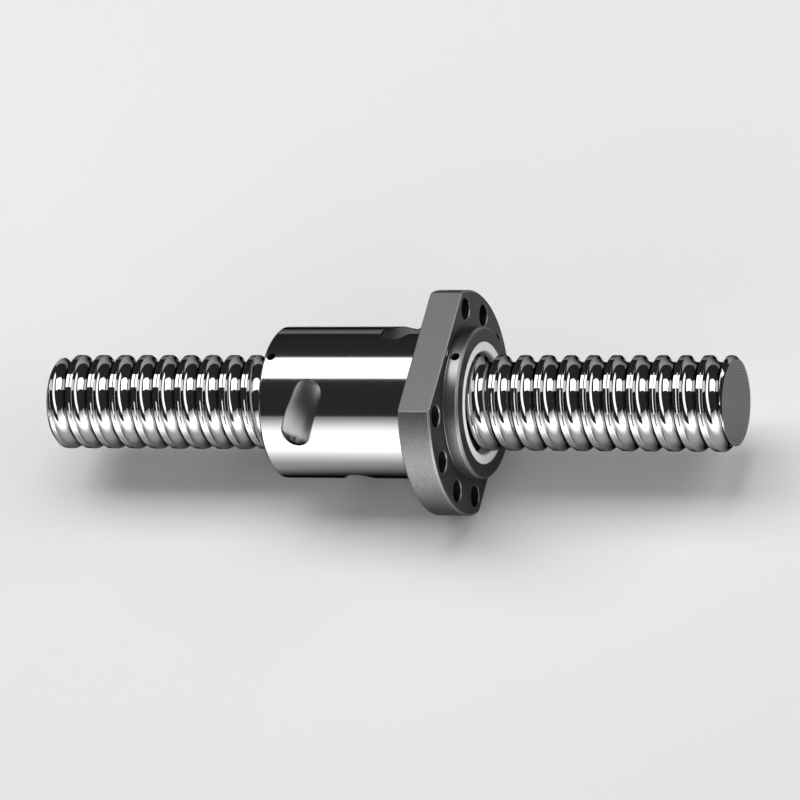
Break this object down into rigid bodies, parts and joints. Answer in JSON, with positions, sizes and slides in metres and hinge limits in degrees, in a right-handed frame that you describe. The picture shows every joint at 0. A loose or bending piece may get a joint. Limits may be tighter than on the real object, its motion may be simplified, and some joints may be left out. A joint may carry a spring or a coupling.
{
  "type": "ball screw nut",
  "caption": "Flanged ball nut on its ball screw: turned steel body with flats and bolt holes, return inserts, balls and white wiper rings.",
  "frame": {"origin": "on the screw's axis, at the flange's mounting face", "axes": "+X along the screw from the nut's body towards its shoulder, +Z out of one flat of the flange"},
  "size_m": [0.3, 0.093, 0.07],
  "materials": {
    "nut_steel": "ground and polished",
    "screw_steel": "polished",
    "insert_steel": "satin",
    "ball_steel": "mirror polished",
    "wiper_plastic": "moulded",
    "set_screw_steel": "blackened"
  },
  "bodies": {
    "nut": {"nut_body": "nut_steel", "return_insert_1": "insert_steel", "return_insert_2": "insert_steel", "return_insert_3": "insert_steel", "return_insert_4": "insert_steel", "ball_circuit_1": "ball_steel", "ball_circuit_2": "ball_steel", "ball_circuit_3": "ball_steel", "ball_circuit_4": "ball_steel", "wiper_flange_end": "wiper_plastic", "set_screw_flange_end": "set_screw_steel", "set_screw_body_end": "set_screw_steel"},
    "turning_ring": {"wiper_body_end": "wiper_plastic"},
    "screw": {"screw_shaft": "screw_steel"}
  },
  "joints": [
    {"name": "screw_turn", "type": "hinge", "parent": "nut", "child": "turning_ring", "pos_m": [0, 0, 0], "axis": [1, 0, 0], "range_deg": [-3240, 3240]},
    {"name": "screw_travel", "type": "slide", "parent": "turning_ring", "child": "screw", "axis": [1, 0, 0], "range_m": [-0.0901, 0.0901]}
  ],
  "couplings": [
    {"joint": "screw_travel", "follows": "screw_turn", "m_per_rad": 0.0015915}
  ]
}
